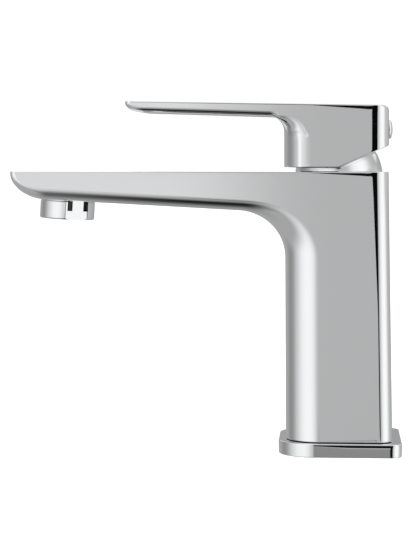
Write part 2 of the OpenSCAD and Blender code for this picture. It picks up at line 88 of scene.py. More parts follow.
PIVOT_Z = BODY_TOP - 1.9
DOME_R = 19.75
DOME_WALL = 1.25
DOME_OPEN_R = 14.5
SEAT_Z = BODY_TOP - 28.2
SHOULDER_Z = BODY_TOP - 8.4
POCKET_R = 17.7
NUT_R = 19.0
COLUMN_WALL = 3.0
SEAT_FLOOR_T = 12.5
INLET_X, INLET_Y = 8, 4                 # axes of the two hose inlets
INLET_R, INLET_BOSS_R, INLET_BOSS_Z = 4.5, 8.5, 40
WATERWAY_R = 3.5
STUD_Y = -11.5                          # axis of the mounting stud
STUD_R, STUD_BOSS_R, STUD_BOSS_Z = 3.4, 6.5, 25
OUTLET_BORE_R = 12.05

HANDLE_Z = handle_low.z
HANDLE_TOP = HANDLE_Z + 28.0
LEVER_Y = handle_low.y
BLOCK_FRONT = 24.5
BLOCK_BACK = handle_high.y
BLOCK_FRONT_R = 12.0
LEVER_EDGE_R = 2.4
HANDLE_BEND_R = 6.5
LEVER_TIP_R = 2.6
LEVER_BOW_L = 8.0
LEVER_BOW_POWER = 2.2
TOP_SLOPE = math.tan(math.radians(0.87))
UNDER_SLOPE = math.tan(math.radians(1.81))
LEVER_UNDER_Z = HANDLE_Z + 22.5
CUT_Y = -0.4
CUT_SLOPE = math.tan(math.radians(23.5))
STEM_LEAN = math.radians(11.0)
STEM_HALF = 4.03
STEM_TOP = 27.8
SOCKET_Z = 10.0
ROOM_R = 20.4                           # room for the dome inside the handle
SCREW_Z = HANDLE_Z + 17.0
SCREW_R = 2.55
CAP_R = cap_high.x
CAP_Y0 = 17.0

TOP_EDGE, FOOT_EDGE = 0.35, 0.25        # small rounded edges of the body, at its top and foot
HANDLE_EDGE, HANDLE_FOOT_EDGE = 0.4, 0.4
BLEND_BEFORE, BLEND_AFTER = 5.5, 6.8    # the block's corner tightens from below the bend to inside it
WEDGE_Y0, WEDGE_Y1 = -13.0, 14.0        # the rolled edge of a side widens between these
REAR_ROLL_W, REAR_ROLL_Z = 2.1, 62      # the roll at the rear corner grows from this height to the top

PLATE_H = COLUMN_Z - 0.3
PLATE_FRONT_R = 16.0
PLATE_BACK_R = 5.0

AERATOR_DROP = 8.8
AERATOR_R = 12.4
AERATOR_FLAT = 11.4                     # distance of the spanner flats from the outlet axis
WINDOW_W, WINDOW_H = 2.4, 4.4           # air inlets over each flat
WINDOW_FROM_MIDDLE = 2.6
WINDOW_SHIFT = 0.75                     # the pair sits off the middle of its flat
AERATOR_TURN = math.radians(28)
COLLAR_TOP = -0.4


def ease(t):
    return t * t * (3 - 2 * t)


def lerp(a, b, t):
    return a + (b - a) * t


def clamp(x, low, high):
    return max(low, min(high, x))


# ---------------------------------------------------------------- mesh helpers


class Build:
    """Collects vertices in millimetres and faces, then makes one object of them."""

    def __init__(self):
        self.points = []
        self.faces = []

    def add(self, x, y, z):
        self.points.append((x, y, z))
        return len(self.points) - 1

    def strip(self, a, b, closed=False):
        n = len(a)
        for i in range(n if closed else n - 1):
            j = (i + 1) % n
            self.faces.append((a[i], a[j], b[j], b[i]))

    def ring(self, radius, z, steps):
        turn = [2 * math.pi * i / steps for i in range(steps)]
        return [self.add(radius * math.cos(t), radius * math.sin(t), z) for t in turn]

    def object(self, name):
        mesh = bpy.data.meshes.new(name)
        mesh.from_pydata([(x * MM, y * MM, z * MM) for x, y, z in self.points], [], self.faces)
        work = bmesh.new()
        work.from_mesh(mesh)
        bmesh.ops.remove_doubles(work, verts=work.verts, dist=1e-7)
        bmesh.ops.recalc_face_normals(work, faces=work.faces)
        work.to_mesh(mesh)
        work.free()
        made = bpy.data.objects.new(name, mesh)
        bpy.context.scene.collection.objects.link(made)
        return made


def lathe(name, profile, steps=96):
    """Turns a closed or capped profile of (radius, z) about the Z axis."""
    build = Build()
    rings = []
    for radius, z in profile:
        rings.append([build.add(0, 0, z)] if radius == 0 else build.ring(radius, z, steps))
    for a, b in zip(rings, rings[1:] + (rings[:1] if profile[0][0] and profile[-1][0] else [])):
        if len(a) == 1 or len(b) == 1:
            tip, ring = (a, b) if len(a) == 1 else (b, a)
            for i in range(steps):
                build.faces.append((tip[0], ring[i], ring[(i + 1) % steps]))
        else:
            build.strip(a, b, closed=True)
    return build.object(name)


def rod(name, radius, z0, z1, cx=0.0, cy=0.0, steps=64):
    made = lathe(name, [(0, z0), (radius, z0), (radius, z1), (0, z1)], steps)
    move(made, cx, cy, 0)
    return made


def move(thing, x, y, z, tilt=0.0):
    """Tilts a mesh about the X axis, then moves it, in its own vertices."""
    c, s = math.cos(tilt), math.sin(tilt)
    for v in thing.data.vertices:
        a, b = v.co.y, v.co.z
        v.co = (v.co.x + x * MM, a * c - b * s + y * MM, a * s + b * c + z * MM)


def box_of(name, low, high):
    build = Build()
    spans = list(zip(low, high))
    ids = [build.add(x, y, z) for x in spans[0] for y in spans[1] for z in spans[2]]
    for face in ((0, 1, 3, 2), (4, 6, 7, 5), (0, 4, 5, 1), (2, 3, 7, 6), (0, 2, 6, 4), (1, 5, 7, 3)):
        build.faces.append(tuple(ids[i] for i in face))
    return build.object(name)


def prism(name, outline, z0, z1):
    build = Build()
    low = [build.add(x, y, z0) for x, y in outline]
    high = [build.add(x, y, z1) for x, y in outline]
    build.strip(low, high, closed=True)
    build.faces += [tuple(reversed(low)), tuple(high)]
    return build.object(name)


def cut(thing, cutters, operation="DIFFERENCE"):
    """Applies exact booleans and removes the cutters."""
    for cutter in cutters:
        change = thing.modifiers.new("cut", "BOOLEAN")
        change.operation = operation
        change.solver = "EXACT"
        change.object = cutter
    graph = bpy.context.evaluated_depsgraph_get()
    mesh = bpy.data.meshes.new_from_object(thing.evaluated_get(graph))
    thing.modifiers.clear()
    thing.data = mesh
    for cutter in cutters:
        bpy.data.objects.remove(cutter)


def polish(thing, angle=28.0):
    """Smooth shading, with hard edges over an angle and flat faces kept flat."""
    thing.data.shade_smooth()
    thing.data.set_sharp_from_angle(angle=math.radians(angle))
    weight = thing.modifiers.new("flat", "WEIGHTED_NORMAL")
    weight.mode = "FACE_AREA"
    weight.weight = 100
    weight.keep_sharp = True


# ---------------------------------------------------------------- column with spout, and block with lever

# Surface angles at which a vertical edge is drawn, from the side face round to the front
CORNER_ANGLES = (90, 88, 86, 84, 82, 80, 76, 72, 68, 64, 60, 56, 52, 46, 40, 33, 26, 19, 12, 6, 0)
# Front edges of the handle's block: a slow turn off the side, a tight corner, then a broad front
BLOCK_ARCS = ((81, 28.0), (51, 4.0), (0, 16.0))


def corner_points(r, share=0.0):
    """Points of a rounded edge as (inset from the side, inset from the front, surface angle).

    share blends from a plain radius towards the handle's own corner."""
    points = []
    across_side, depth = 0.0, 0.0
    for k, angle in enumerate(CORNER_ANGLES):
        a = math.radians(angle)
        if k:
            before = math.radians(CORNER_ANGLES[k - 1])
            radius = next(arc_r for low, arc_r in BLOCK_ARCS if angle >= low)
            across_side += radius * (math.sin(before) - math.sin(a))
            depth += radius * (math.cos(a) - math.cos(before))
        points.append((across_side, depth, a))
    total = points[-1][1]
    return [(lerp(r * (1 - math.sin(a)), x, share), lerp(r * (1 - math.cos(a)), total - d, share), a)
            for x, d, a in points]


class SpoutedBlock:
    """A block with flat sides and an arm in front of it.

    path is the outline seen from the side, from the foot of the front to the tip, as rows of
    (y, z, normal y, normal z, edge radius, share of the handle's own corner). top and bottom give
    z at y. rear gives the y of the back at z, and its corner radius. edges has the small edge radii
    at the sides, at the back and at the foot. roll has the widths over which polishing has rounded
    off the top, the back and the foot of the side faces, then the slopes reached at those edges.
    crease is the y at which the foot breaks into two faces.
    """

    CORNER_COLUMNS, FOOT_COLUMNS = 16, 12
    EDGE_ROWS, ROLL_ROWS = 4, 5
    FRONT_INSET = 0.25

    def __init__(self, path, top, bottom, rear, edges, roll, rear_rows, side_rows, crease=None):
        self.build = Build()
        self.path, self.top, self.bottom, self.crease = path, top, bottom, crease
        self.rear_y, self.corner_r = rear
        self.side_e, self.rear_e, self.foot_e = edges
        self.top_w, self.rear_w, self.foot_w, self.slope_t, self.slope_r, self.slope_f = roll
        self.rear_rows, self.side_rows = rear_rows, side_rows
        self.turn0 = math.atan(self.slope_r)
        self.tops, self.feet = {}, {}
        self.rows = self.front()
        self.columns = self.back()
        for side in (1, -1):
            self.side_face(side)
        self.close_top()
        self.close_foot()

    def rear_at(self, z, turn):
        """y of the back at a height, for a surface angle of its corner."""
        return self.rear_y(z) - self.corner_r + self.corner_r * math.sin(turn)

    def top_level(self, y):
        return self.top(y) - self.side_e

    def foot_level(self, y):
        return self.bottom(y) + self.foot_e

    def y_of(self, i):
        return self.build.points[i][1]

    def drop(self, y, z):
        """How far polishing has taken a side face back at y, z."""
        rolls = ((self.top_w(y), self.slope_t, self.top(y) - self.side_e - z),
                 (self.rear_w(z), self.slope_r, self.rear_at(z, self.turn0) - y),
                 (self.foot_w(y), self.slope_f, z - self.bottom(y) - self.foot_e))
        depth = 0.0
        for width, slope, distance in rolls:
            depth += width * slope / 2 * clamp(1 - distance / width, 0, 1) ** 2
        return depth

    def front(self):
        """Front, bend, underside and tip, as rows from +X to -X."""
        rows = []
        for y, z, ny, nz, r, share in self.path:
            row = []
            profile = corner_points(r, share)
            for side in (1, -1):
                for inward, inset, _ in profile[::side]:
                    row.append(self.build.add(side * (HALF - inward), y - ny * inset, z - nz * inset))
            rows.append(row)
        for a, b in zip(rows, rows[1:]):
            self.build.strip(a, b)
        return rows

    def back(self):
        """Back and its corners, as columns from +X to -X with their side, surface angle and edge."""
        columns = []
        count = self.CORNER_COLUMNS
        for side in (1, -1):
            for k in range(count + 1):
                turn = lerp(self.turn0, math.pi / 2, k / count if side > 0 else 1 - k / count)
                edge = lerp(self.side_e, self.rear_e, ease(turn / (math.pi / 2)))
                columns.append((self.column(side, turn, edge), side, turn, edge))
        for (a, *_), (b, *_) in zip(columns, columns[1:]):
            self.build.strip(a, b)
        return columns

    def column(self, side, turn, edge):
        low = self.bottom(self.rear_at(COLUMN_Z, turn)) + self.foot_e
        high = self.top(self.rear_at(BODY_TOP, turn)) - edge
        column = []
        for j in range(self.rear_rows + 1):
            z = lerp(low, high, j / self.rear_rows)
            start = self.rear_at(z, self.turn0)
            x = HALF - self.drop(start, z) - self.corner_r * (math.cos(self.turn0) - math.cos(turn))
            column.append(self.build.add(side * x, self.rear_at(z, turn), z))
        return column

    def side_row(self, side, y0, y1, count, level, crease=None):
        """Points along the top or the foot of a side face, between its ends."""
        along = [lerp(y0, y1, j / count) for j in range(1, count)]
        if crease is not None:
            nearest = min(range(len(along)), key=lambda j: abs(along[j] - crease))
            along[nearest] = crease
        return [self.build.add(side * (HALF - self.drop(y, level(y))), y, level(y)) for y in along]

    def side_face(self, side):
        front = [row[0 if side > 0 else -1] for row in self.rows]
        back = (self.columns[0] if side > 0 else self.columns[-1])[0]
        y0, y1 = self.y_of(front[-1]), self.y_of(back[-1])
        tops = self.side_row(side, y0, y1, self.side_rows, self.top_level)
        y0, y1 = self.y_of(back[0]), self.y_of(front[0])
        feet = self.side_row(side, y0, y1, self.FOOT_COLUMNS, self.foot_level, self.crease)
        self.tops[side], self.feet[side] = tops, feet
        step = self.FRONT_INSET
        insets = [(-ny * step, -nz * step) for _, _, ny, nz, _, _ in self.path]
        insets += [(0, -self.top_w(self.y_of(i))) for i in tops]
        insets += [(-self.rear_w(self.build.points[i][2]), 0) for i in back[::-1]]
        insets += [(0, self.foot_w(self.y_of(i))) for i in feet]
        first, last = len(front) - 1, len(front) + len(tops)
        corner = last + len(back) - 1
        insets[0] = (step, self.foot_w(self.y_of(front[0])))
        insets[first] = (step, -self.top_w(self.y_of(front[-1])))
        insets[last] = (insets[last][0], -self.top_w(self.y_of(back[-1])))
        insets[corner] = (insets[corner][0], self.foot_w(self.y_of(back[0])))
        self.roll_in(side, front + tops + back[::-1] + feet, insets)

    def roll_in(self, side, loop, insets):
        """Rows from the outline of a side face to where its flat part begins, and the flat part."""
        ring = loop
        for k in range(1, self.ROLL_ROWS + 1):
            t = k / self.ROLL_ROWS
            inner = []
            for i, (dy, dz) in zip(loop, insets):
                _, y, z = self.build.points[i]
                y, z = y + t * dy, z + t * dz
                inner.append(self.build.add(side * (HALF - self.drop(y, z)), y, z))
            self.build.strip(ring, inner, closed=True)
            ring = inner
        self.build.faces.append(tuple(ring))

    def rim(self, around, level, sign):
        """A small rounded edge round the top, where sign is 1, or round the foot, where it is -1."""
        ring = [i for i, *_ in around]
        for k in range(1, self.EDGE_ROWS + 1):
            a = math.pi / 2 * k / self.EDGE_ROWS
            inner = []
            for i, mx, my, edge in around:
                x, y, _ = self.build.points[i]
                x, y = x - mx * edge * (1 - math.cos(a)), y - my * edge * (1 - math.cos(a))
                inner.append(self.build.add(x, y, level(y) - sign * edge * (1 - math.sin(a))))
            self.build.strip(ring, inner, closed=True)
            ring = inner
        return ring

    def across(self, row, edge):
        """A front row as (point, outward x, outward y, edge radius)."""
        last = len(CORNER_ANGLES) - 1
        found = []
        for n, i in enumerate(row):
            side = 1 if n <= last else -1
            k = n if side > 0 else 2 * last + 1 - n
            a = math.radians(CORNER_ANGLES[k])
            found.append((i, side * math.sin(a), -math.cos(a), edge))
        return found

    def behind(self, j, edge=None):
        """The same for one row of the back."""
        return [(column[j], side * math.cos(turn), math.sin(turn), own_edge if edge is None else edge)
                for column, side, turn, own_edge in self.columns[::-1]]

    def close_top(self):
        around = self.across(self.rows[-1], self.side_e)
        around += [(i, -1, 0, self.side_e) for i in self.tops[-1]]
        around += self.behind(-1)
        around += [(i, 1, 0, self.side_e) for i in reversed(self.tops[1])]
        self.build.faces.append(tuple(self.rim(around, self.top, 1)))

    def close_foot(self):
        around = self.across(self.rows[0], self.foot_e)
        around += [(i, -1, 0, self.foot_e) for i in reversed(self.feet[-1])]
        around += self.behind(0, self.foot_e)
        around += [(i, 1, 0, self.foot_e) for i in self.feet[1]]
        ring = self.rim(around, self.bottom, -1)
        if self.crease is None:
            self.build.faces.append(tuple(ring))
            return
        marks = [j for j, i in enumerate(ring) if abs(self.y_of(i) - self.crease) < 1e-6]
        a, b = marks[0], marks[-1]
        self.build.faces.append(tuple(ring[a:b + 1]))
        self.build.faces.append(tuple(ring[b:] + ring[:a + 1]))


def body_path():
    """Front of the column, bend, underside of the spout and its bowed tip."""
    path = []
    column_rows, bend_rows, spout_rows, bow_rows = 10, 40, 8, 40
    z0 = COLUMN_Z + FOOT_EDGE
    for i in range(column_rows):
        t = i / column_rows
        y = -lerp(COLUMN_FRONT_FOOT, COLUMN_FRONT, t)
        path.append((y, lerp(z0, BEND_Z, t), -1, 0, COLUMN_FRONT_R, 0))
    turn = math.pi / 2 - SPOUT_SLOPE
    for i in range(bend_rows + 1):
        t = i / bend_rows
        a = turn * t
        r = lerp(COLUMN_FRONT_R, SPOUT_EDGE_R, ease(t))
        c, s = math.cos(a), math.sin(a)
        path.append((BEND_Y + BEND_R * c, BEND_Z + BEND_R * s, -c, -s, r, 0))

    def under(y):
        return OUTLET_Z - (y - OUTLET_Y) * math.tan(SPOUT_SLOPE)

    y0 = BEND_Y + BEND_R * math.cos(turn)
    down = (-math.sin(SPOUT_SLOPE), -math.cos(SPOUT_SLOPE))
    for i in range(1, spout_rows):
        y = lerp(y0, BOW_Y, i / spout_rows)
        path.append((y, under(y), down[0], down[1], SPOUT_EDGE_R, 0))
    height = BODY_TOP - TOP_EDGE - under(TIP_Y)
    lift = 2 / BOW_POWER
    for i in range(bow_rows + 1):
        a = math.pi / 2 * i / bow_rows
        u = math.sin(a) ** lift if i < bow_rows else 1.0
        v = math.cos(a) ** lift if i < bow_rows else 0.0
        y = BOW_Y - BOW_L * u
        ny = -(u ** (BOW_POWER - 1)) / BOW_L
        nz = -(v ** (BOW_POWER - 1)) / height
        ny += nz * math.tan(SPOUT_SLOPE)
        if i == bow_rows:
            ny, nz = -1.0, 0.0
        size = math.hypot(ny, nz)
        r = lerp(SPOUT_EDGE_R, TIP_EDGE_R, ease(i / bow_rows))
        path.append((y, under(y) + height * (1 - v), ny / size, nz / size, r, 0))
    return path


def wedge(y, narrow=0.12, wide=1.9):
    return lerp(narrow, wide, clamp((y - WEDGE_Y0) / (WEDGE_Y1 - WEDGE_Y0), 0, 1))


def make_body():
    def rear_y(z):
        return lerp(COLUMN_BACK, COLUMN_BACK_TOP, (z - COLUMN_Z) / (BODY_TOP - COLUMN_Z))

    def rear_w(z):
        return REAR_ROLL_W * clamp((z - REAR_ROLL_Z) / (BODY_TOP - REAR_ROLL_Z), 0.03, 1)

    block = SpoutedBlock(
        body_path(), lambda y: BODY_TOP, lambda y: COLUMN_Z,
        (rear_y, COLUMN_BACK_R), (TOP_EDGE, TOP_EDGE, FOOT_EDGE),
        (lambda y: 1.3 * wedge(y), rear_w, lambda y: wedge(y, 0.1, 0.9), 0.08, 0.06, 0.45),
        rear_rows=24, side_rows=48)
    body = block.build.object("mixer_body")
    wall = COLUMN_WALL
    front, back = COLUMN_FRONT - wall, COLUMN_BACK - wall
    hollow = d_outline(HALF - wall, front, back, COLUMN_FRONT_R - wall, COLUMN_BACK_R - wall)
    core = prism("core", hollow, COLUMN_Z - 1, SEAT_Z - SEAT_FLOOR_T)
    bosses = [rod("boss", INLET_BOSS_R, INLET_BOSS_Z, SEAT_Z, side * INLET_X, INLET_Y) for side in (-1, 1)]
    bosses.append(rod("boss", STUD_BOSS_R, STUD_BOSS_Z, SEAT_Z, 0, STUD_Y))
    cut(core, bosses)
    pocket = lathe("pocket", [(0, SEAT_Z), (POCKET_R, SEAT_Z), (POCKET_R, SHOULDER_Z), (NUT_R, SHOULDER_Z),
                              (NUT_R, BODY_TOP + 1), (0, BODY_TOP + 1)])
    ways = [rod("way", WATERWAY_R, 45, SEAT_Z + 1, side * INLET_X, INLET_Y) for side in (-1, 1)]
    ways += [rod("way", INLET_R, INLET_BOSS_Z - 1, 52, side * INLET_X, INLET_Y) for side in (-1, 1)]
    ways.append(rod("way", STUD_R, STUD_BOSS_Z - 1, 45, 0, STUD_Y))
    bore = rod("bore", OUTLET_BORE_R, -3, 8.1)
    move(bore, 0, OUTLET_Y, OUTLET_Z, -SPOUT_SLOPE)
    cut(body, [core, pocket, bore] + ways)
    return body


def d_outline(half, front, back, front_r, back_r, steps=16):
    """Rectangle about the column axis, as points, with its own corner radii in front and at the back."""
    points = []
    corners = ((half - back_r, back - back_r, back_r, 0),
               (back_r - half, back - back_r, back_r, 90),
               (front_r - half, front_r - front, front_r, 180),
               (half - front_r, front_r - front, front_r, 270))
    for cx, cy, r, start in corners:
        for k in range(steps + 1):
            a = math.radians(start + 90 * k / steps)
            points.append((cx + r * math.cos(a), cy + r * math.sin(a)))
    return points


# ---------------------------------------------------------------- handle


def handle_top(y):
    return HANDLE_TOP - y * TOP_SLOPE


def handle_bottom(y):
    return HANDLE_Z + max(0.0, y - CUT_Y) * CUT_SLOPE


def handle_path():
    path = []
    bend_rows, lever_rows, bow_rows, block_rows, blend_rows = 36, 6, 20, 4, 12

    def under(y):
        return LEVER_UNDER_Z - (y + BLOCK_FRONT) * UNDER_SLOPE

    centre_y = -BLOCK_FRONT - HANDLE_BEND_R
    slope = math.atan(UNDER_SLOPE)
    centre_z = under(centre_y) - HANDLE_BEND_R / math.cos(slope)

    def blended(y, z, ny, nz, along):
        """A row at a distance along the path from the start of the bend."""
        t = ease(clamp((along + BLEND_BEFORE) / (BLEND_BEFORE + BLEND_AFTER), 0, 1))
        return y, z, ny, nz, lerp(BLOCK_FRONT_R, LEVER_EDGE_R, t), 1 - t

    foot_z = HANDLE_Z + HANDLE_FOOT_EDGE
    blend_z = centre_z - BLEND_BEFORE
    heights = [foot_z, foot_z + 0.3] + [lerp(foot_z, blend_z, i / block_rows) for i in range(1, block_rows)]
    heights += [lerp(blend_z, centre_z, i / blend_rows) for i in range(blend_rows)]
    path += [blended(-BLOCK_FRONT, z, -1, 0, z - centre_z) for z in heights]
    turn = math.pi / 2 - slope
    for i in range(bend_rows + 1):
        a = turn * i / bend_rows
        c, s = math.cos(a), math.sin(a)
        y, z = centre_y + HANDLE_BEND_R * c, centre_z + HANDLE_BEND_R * s
        path.append(blended(y, z, -c, -s, HANDLE_BEND_R * a))
    y0, y1 = centre_y + HANDLE_BEND_R * math.cos(turn), LEVER_Y + LEVER_BOW_L
    for i in range(1, lever_rows):
        y = lerp(y0, y1, i / lever_rows)
        path.append((y, under(y), -math.sin(slope), -math.cos(slope), LEVER_EDGE_R, 0))
    tip_top = handle_top(LEVER_Y) - HANDLE_EDGE
    height = tip_top - under(LEVER_Y)
    lift = 2 / LEVER_BOW_POWER
    for i in range(bow_rows + 1):
        a = math.pi / 2 * i / bow_rows
        u = math.sin(a) ** lift if i < bow_rows else 1.0
        v = math.cos(a) ** lift if i < bow_rows else 0.0
        y = y1 - LEVER_BOW_L * u
        z = under(y) + height * (1 - v)
        ny = -(u ** (LEVER_BOW_POWER - 1)) / LEVER_BOW_L
        nz = -(v ** (LEVER_BOW_POWER - 1)) / height
        ny += nz * UNDER_SLOPE
        if i == bow_rows:
            ny, nz = -1.0, 0.0
        size = math.hypot(ny, nz)
        r = lerp(LEVER_EDGE_R, LEVER_TIP_R, ease(i / bow_rows))
        path.append((y, z, ny / size, nz / size, r, 0))
    return path


def make_handle():
    block = SpoutedBlock(
        handle_path(), handle_top, handle_bottom,
        (lambda z: BLOCK_BACK, 6.0), (HANDLE_EDGE, 2.5, HANDLE_FOOT_EDGE),
        (lambda y: 1.15 * wedge(y, 0.22), lambda z: 2.5, lambda y: 0.1, 0.055, 0.06, 0.1),
        rear_rows=6, side_rows=30, crease=CUT_Y)
    handle = block.build.object("lever_handle")
    arc = [math.radians(t) for t in range(-87, 88, 3)]
    room_points = [(ROOM_R * math.cos(a), ROOM_R * math.sin(a)) for a in arc]
    room = lathe("room", [(0, -21)] + room_points + [(0, ROOM_R)])
    move(room, 0, 0, PIVOT_Z)
    socket = box_of("socket", (-STEM_HALF, -STEM_HALF, SOCKET_Z), (STEM_HALF, STEM_HALF, STEM_TOP))
    move(socket, 0, 0, PIVOT_Z, STEM_LEAN)
    screw = rod("screw", SCREW_R, 0, 30)
    move(screw, 0, 0, SCREW_Z, -math.pi / 2)
    seat = lathe("seat", [(0, CAP_Y0), (CAP_R + 0.15, CAP_Y0), (CAP_R + 0.15, BLOCK_BACK - 0.35),
                          (CAP_R + 0.7, BLOCK_BACK + 0.4), (0, BLOCK_BACK + 0.4)])
    move(seat, 0, 0, SCREW_Z, -math.pi / 2)
    cut(handle, [room, socket, screw, seat])
    return handle


# ---------------------------------------------------------------- plate, dome, button, collar


def plate_outline(half, front, back):
    """Points of the plate's edge with the direction in which each faces, as (x, y, outward x, outward y)."""
    steps, flat_steps = 16, 36
    around = []
    corners = ((half - PLATE_BACK_R, back - PLATE_BACK_R, PLATE_BACK_R, 0),
               (PLATE_BACK_R - half, back - PLATE_BACK_R, PLATE_BACK_R, 90),
               (PLATE_FRONT_R - half, PLATE_FRONT_R - front, PLATE_FRONT_R, 180),
               (half - PLATE_FRONT_R, PLATE_FRONT_R - front, PLATE_FRONT_R, 270))
    for n, (cx, cy, r, start) in enumerate(corners):
        for k in range(steps + 1):
            a = math.radians(start + 90 * k / steps)
            around.append((cx + r * math.cos(a), cy + r * math.sin(a), math.cos(a), math.sin(a)))
        if n in (1, 3):
            ncx, ncy, nr, nstart = corners[(n + 1) % 4]
            a = math.radians(nstart)
            here, there = around[-1], (ncx + nr * math.cos(a), ncy + nr * math.sin(a))
            for k in range(1, flat_steps):
                t = k / flat_steps
                around.append((lerp(here[0], there[0], t), lerp(here[1], there[1], t), here[2], here[3]))
    return around


def make_plate():
    half = plate_high.x
    front, back = -plate_low.y, plate_high.y
    edge = 0.3
    build = Build()
    around = plate_outline(half, front, back)
    lean = math.tan(math.radians(1.5))
    wall_top = PLATE_H - edge
    corner_y = back - PLATE_BACK_R

    def rolled_w(y):
        """Height of the strip below the top edge that polishing has rolled over."""
        w = lerp(0.6, 1.45, clamp((y + 12) / 16, 0, 1))
        return lerp(w, 0.5, clamp((y - corner_y) / PLATE_BACK_R, 0, 1))

    def row(level):
        """level runs from 0 at the foot over 1 where the rolled strip starts to 2 at the top edge."""
        ring = []
        for x, y, mx, my in around:
            w = rolled_w(y)
            start = wall_top - w
            z = lerp(edge, start, level) if level < 1 else lerp(start, wall_top, level - 1)
            u = max(level - 1, 0)
            inset = lean * (wall_top - z) + w * (0.125 * u + 0.02 * u * u)
            ring.append(build.add(x - mx * inset, y - my * inset, z))
        return ring

    rings = [row(level) for level in (0, 0.5, 1, 1.2, 1.4, 1.6, 1.8, 2)]
    low = [build.add(build.points[i][0] - mx * edge, build.points[i][1] - my * edge, 0.0)
           for i, (_, _, mx, my) in zip(rings[0], around)]
    build.strip(low, rings[0], closed=True)
    for a, b in zip(rings, rings[1:]):
        build.strip(a, b, closed=True)
    ring = rings[-1]
    for k in range(1, 5):
        a = math.pi / 2 * k / 4
        inner = []
        for i, (_, _, mx, my) in zip(rings[-1], around):
            x, y, _ = build.points[i]
            back_off = edge * (1 - math.cos(a))
            inner.append(build.add(x - mx * back_off, y - my * back_off, PLATE_H - edge * (1 - math.sin(a))))
        build.strip(ring, inner, closed=True)
        ring = inner
    build.faces += [tuple(ring), tuple(reversed(low))]
    plate = build.object("foot_plate")
    inset = 3.3
    spigot = prism("spigot", d_outline(HALF - inset, COLUMN_FRONT - inset, COLUMN_BACK - inset, 11.7, 2.7),
                   PLATE_H - 1, PLATE_H + 3.5)
    cut(plate, [spigot], "UNION")
    groove = lathe("groove", [(21.1, -1), (23.9, -1), (23.9, 1.6), (21.1, 1.6)])
    cut(plate, [rod("hole", 17.0, -1, 12, steps=96), groove])
    return plate


def make_dome():
    inner = DOME_R - DOME_WALL
    z0 = BODY_TOP - PIVOT_Z
    low_out, low_in = math.asin(z0 / DOME_R), math.asin(z0 / inner)
    high_out, high_in = math.acos(DOME_OPEN_R / DOME_R), math.acos(DOME_OPEN_R / inner)
    n = 28
    rim = 0.25
    profile = [((DOME_R - 0.2) * math.cos(low_out), z0)]
    profile += [(DOME_R * math.cos(a), DOME_R * math.sin(a)) for a in
                [lerp(low_out + 0.012, high_out - 0.014, k / n) for k in range(n + 1)]]
    profile += [(DOME_OPEN_R + rim / 3, DOME_R * math.sin(high_out) - rim / 3)]
    profile += [(inner * math.cos(a), inner * math.sin(a)) for a in
                [lerp(high_in, low_in, k / n) for k in range(n + 1)]]
    dome = lathe("ball_cap", profile, 128)
    move(dome, 0, 0, PIVOT_Z)
    return dome


def make_button():
    """A plug with a low domed head, its edge rounded, with a fine turned groove."""
    rise = 0.8
    crown = (CAP_R ** 2 + rise ** 2) / (2 * rise)
    head = cap_high.y
    profile = [(0, CAP_Y0), (CAP_R - 0.5, CAP_Y0), (CAP_R, CAP_Y0 + 0.5), (CAP_R, BLOCK_BACK - 0.6)]
    lip = BLOCK_BACK + 0.55
    neck = CAP_R - 0.9
    profile += [(neck, BLOCK_BACK - 0.5), (neck, lip - 0.2), (CAP_R - 0.15, lip - 0.1), (CAP_R, lip)]
    n = 14
    edge_r = CAP_R - 0.5
    edge_z = head - crown + math.sqrt(crown ** 2 - edge_r ** 2)
    for k in range(1, 5):
        a = math.pi / 2 * k / 4
        profile.append((lerp(edge_r, CAP_R, math.cos(a)), lerp(lip, edge_z, math.sin(a))))
    for k in range(1, n + 1):
        r = edge_r * (1 - k / n)
        profile.append((r, head - crown + math.sqrt(crown ** 2 - r ** 2)))
    button = lathe("lever_button", profile, 64)
    move(button, 0, 0, SCREW_Z, -math.pi / 2)
    return button


def make_collar():
    """Aerator housing: a turned collar with spanner flats over a plain threaded part."""
    outer, thread, bore, lip = AERATOR_R, 11.95, 10.3, 9.6
    top, bottom = COLLAR_TOP, -AERATOR_DROP
    round_r = 0.8
    profile = [(lip, bottom + 1.5), (lip, bottom + 0.4), (lip + 0.4, bottom), (outer - round_r, bottom)]
    for k in range(1, 6):
        a = math.pi / 2 * k / 5
        profile.append((outer - round_r * (1 - math.sin(a)), bottom + round_r * (1 - math.cos(a))))
    profile += [(outer, top - 0.5), (outer - 0.4, top), (thread, top), (thread, 6.2), (thread - 0.3, 6.5),
                (bore, 6.5), (bore, bottom + 1.5)]
    collar = lathe("outlet_collar", profile, 128)
    cutters = []
    for turn in (0, math.pi):
        a = AERATOR_TURN + turn
        boxes = [((AERATOR_FLAT, -10, -20), (16, 10, top))]
        for y in (-WINDOW_FROM_MIDDLE - WINDOW_W, WINDOW_FROM_MIDDLE):
            low_y = y + WINDOW_SHIFT
            boxes.append(((bore - 2, low_y, top - WINDOW_H), (16, low_y + WINDOW_W, top + 0.001)))
        for low, high in boxes:
            tool = box_of("tool", low, high)
            for v in tool.data.vertices:
                x, y = v.co.x, v.co.y
                v.co.x, v.co.y = x * math.cos(a) - y * math.sin(a), x * math.sin(a) + y * math.cos(a)
            cutters.append(tool)
    cut(collar, cutters)
    move(collar, 0, OUTLET_Y, OUTLET_Z, -SPOUT_SLOPE)
    return collar


# ---------------------------------------------------------------- materials


